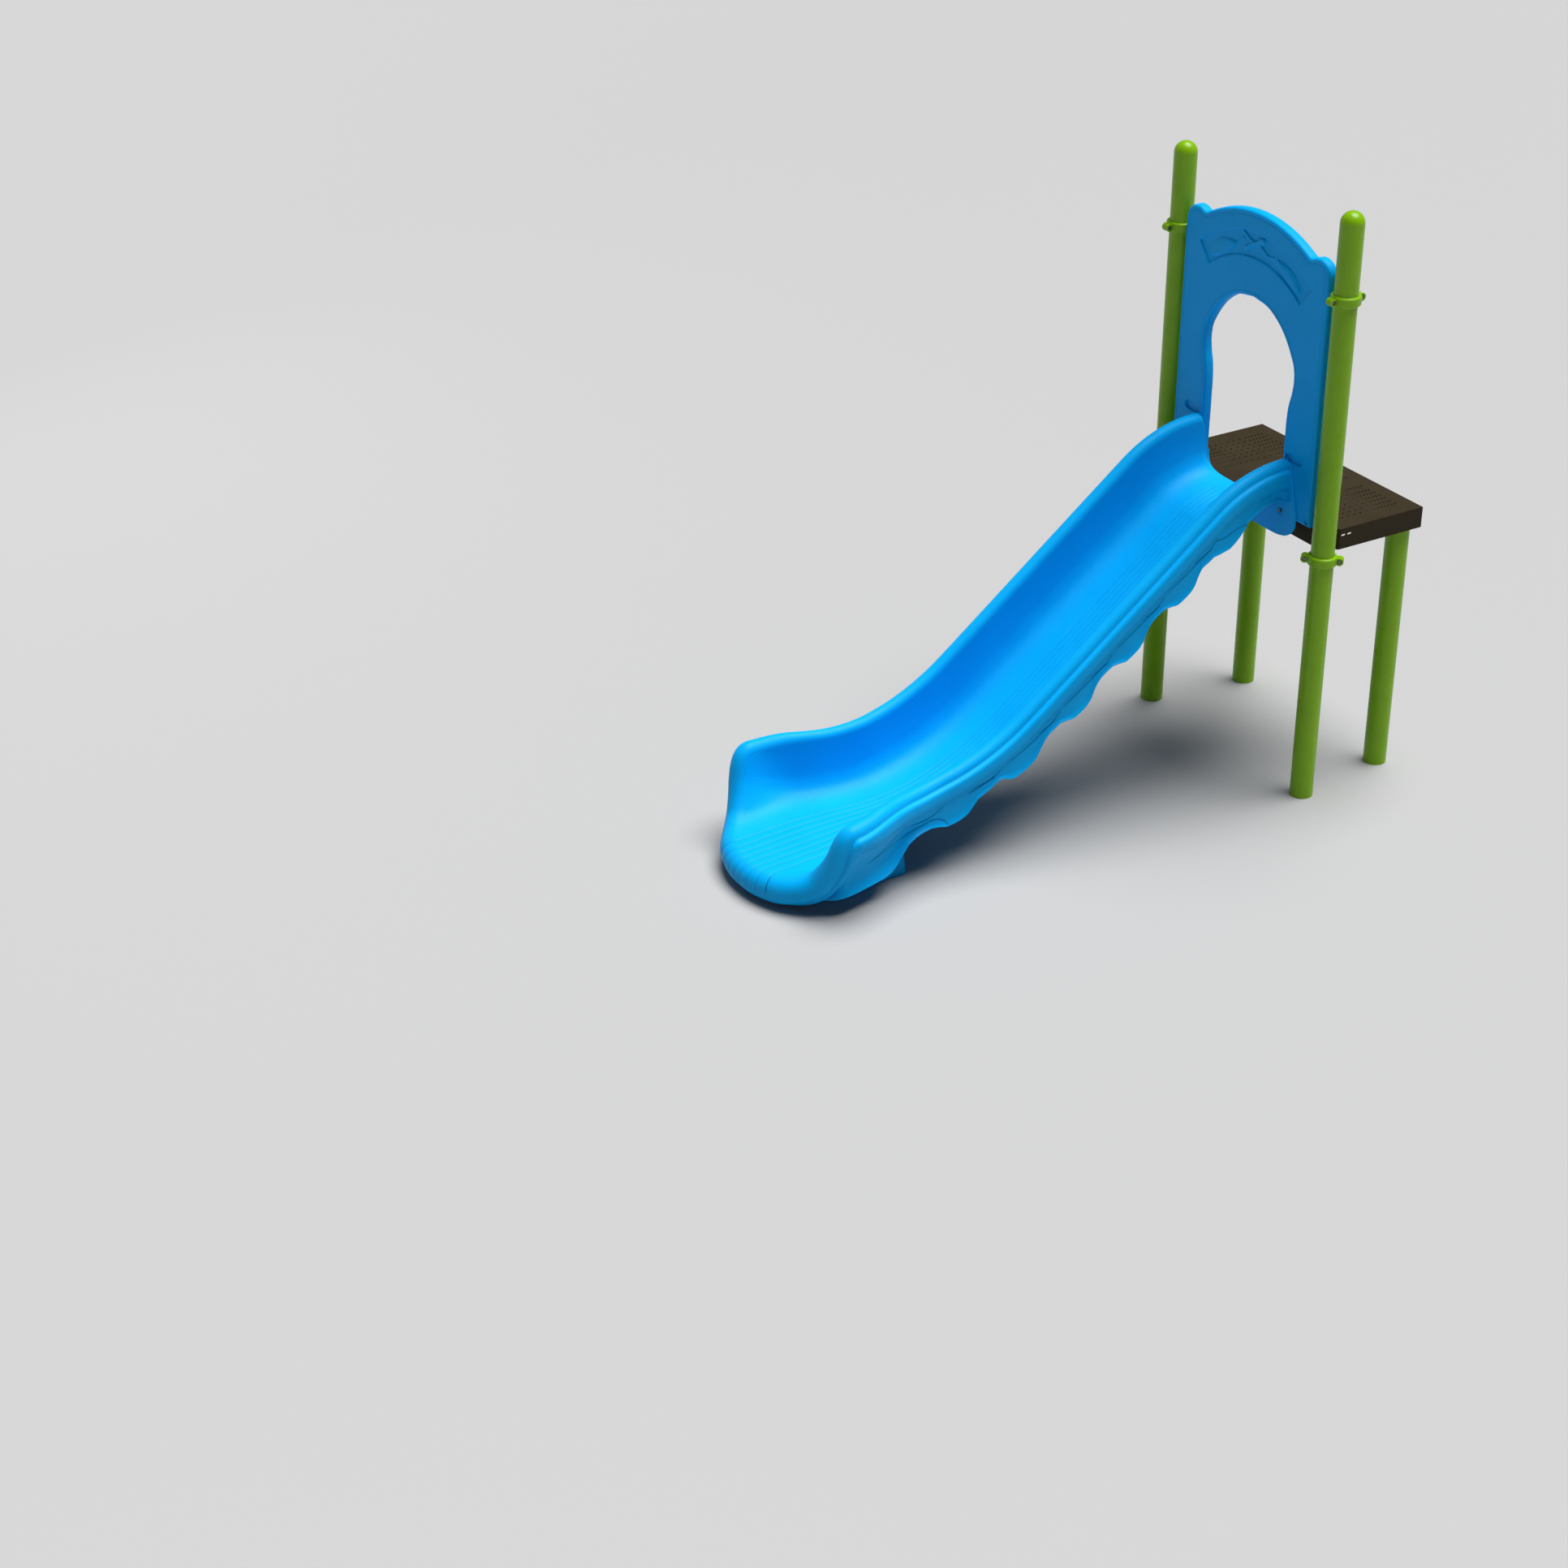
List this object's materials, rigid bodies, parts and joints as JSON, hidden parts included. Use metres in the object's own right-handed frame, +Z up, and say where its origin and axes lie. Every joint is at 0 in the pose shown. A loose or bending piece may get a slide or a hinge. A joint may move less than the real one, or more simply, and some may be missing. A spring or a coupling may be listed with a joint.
{
  "type": "playground wave slide",
  "caption": "Straight playground slide with scalloped side skirts, arched entry panel and perforated deck on round posts, for children to climb onto and slide down.",
  "frame": {"origin": "on the ground in the middle of the unit's footprint", "axes": "+Z up; +Y from the slide's exit towards the back of the deck; +X to the right when facing the entry panel from the exit"},
  "size_m": [1.083, 2.703, 2.3184],
  "materials": {
    "post_green": "smooth lime-green powder coat",
    "leg_green": "smooth lime-green powder coat",
    "clamp_green": "lime-green powder coat on cast metal",
    "deck_brown": "thick dark-brown vinyl coating on punched steel",
    "slide_blue": "azure moulded polyethylene, satin, lightly scratched",
    "panel_blue": "blue moulded polyethylene, satin",
    "bolt_steel": "zinc-plated, dull",
    "anchor_steel": "galvanised grey",
    "insert_brass": "plain"
  },
  "bodies": {
    "root": {"front_post_left": "post_green", "front_post_right": "post_green", "post_cap_left": "post_green", "post_cap_right": "post_green", "rear_leg_left": "leg_green", "rear_leg_right": "leg_green", "rear_leg_plates": "leg_green", "deck_platform": "deck_brown", "deck_stiffeners": "deck_brown", "leg_plate_bolts": "bolt_steel", "leg_plate_nuts": "bolt_steel", "panel_clamp_outer_left": "clamp_green", "panel_clamp_outer_right": "clamp_green", "panel_clamp_inner_left": "clamp_green", "panel_clamp_inner_right": "clamp_green", "deck_clamp_outer_left": "clamp_green", "deck_clamp_outer_right": "clamp_green", "deck_clamp_inner_left": "clamp_green", "deck_clamp_inner_right": "clamp_green", "clamp_bolts": "bolt_steel", "clamp_nuts": "bolt_steel", "clamp_deck_bolts": "bolt_steel", "entry_panel": "panel_blue", "panel_tongue_bolts": "bolt_steel", "panel_inserts": "insert_brass", "slide_panel_bolts": "bolt_steel", "slide_chute": "slide_blue", "slide_deck_bolts": "bolt_steel", "slide_deck_washers": "bolt_steel", "slide_inserts": "insert_brass", "exit_anchor_angles": "anchor_steel", "exit_anchor_bolts": "bolt_steel"}
  },
  "joints": []
}
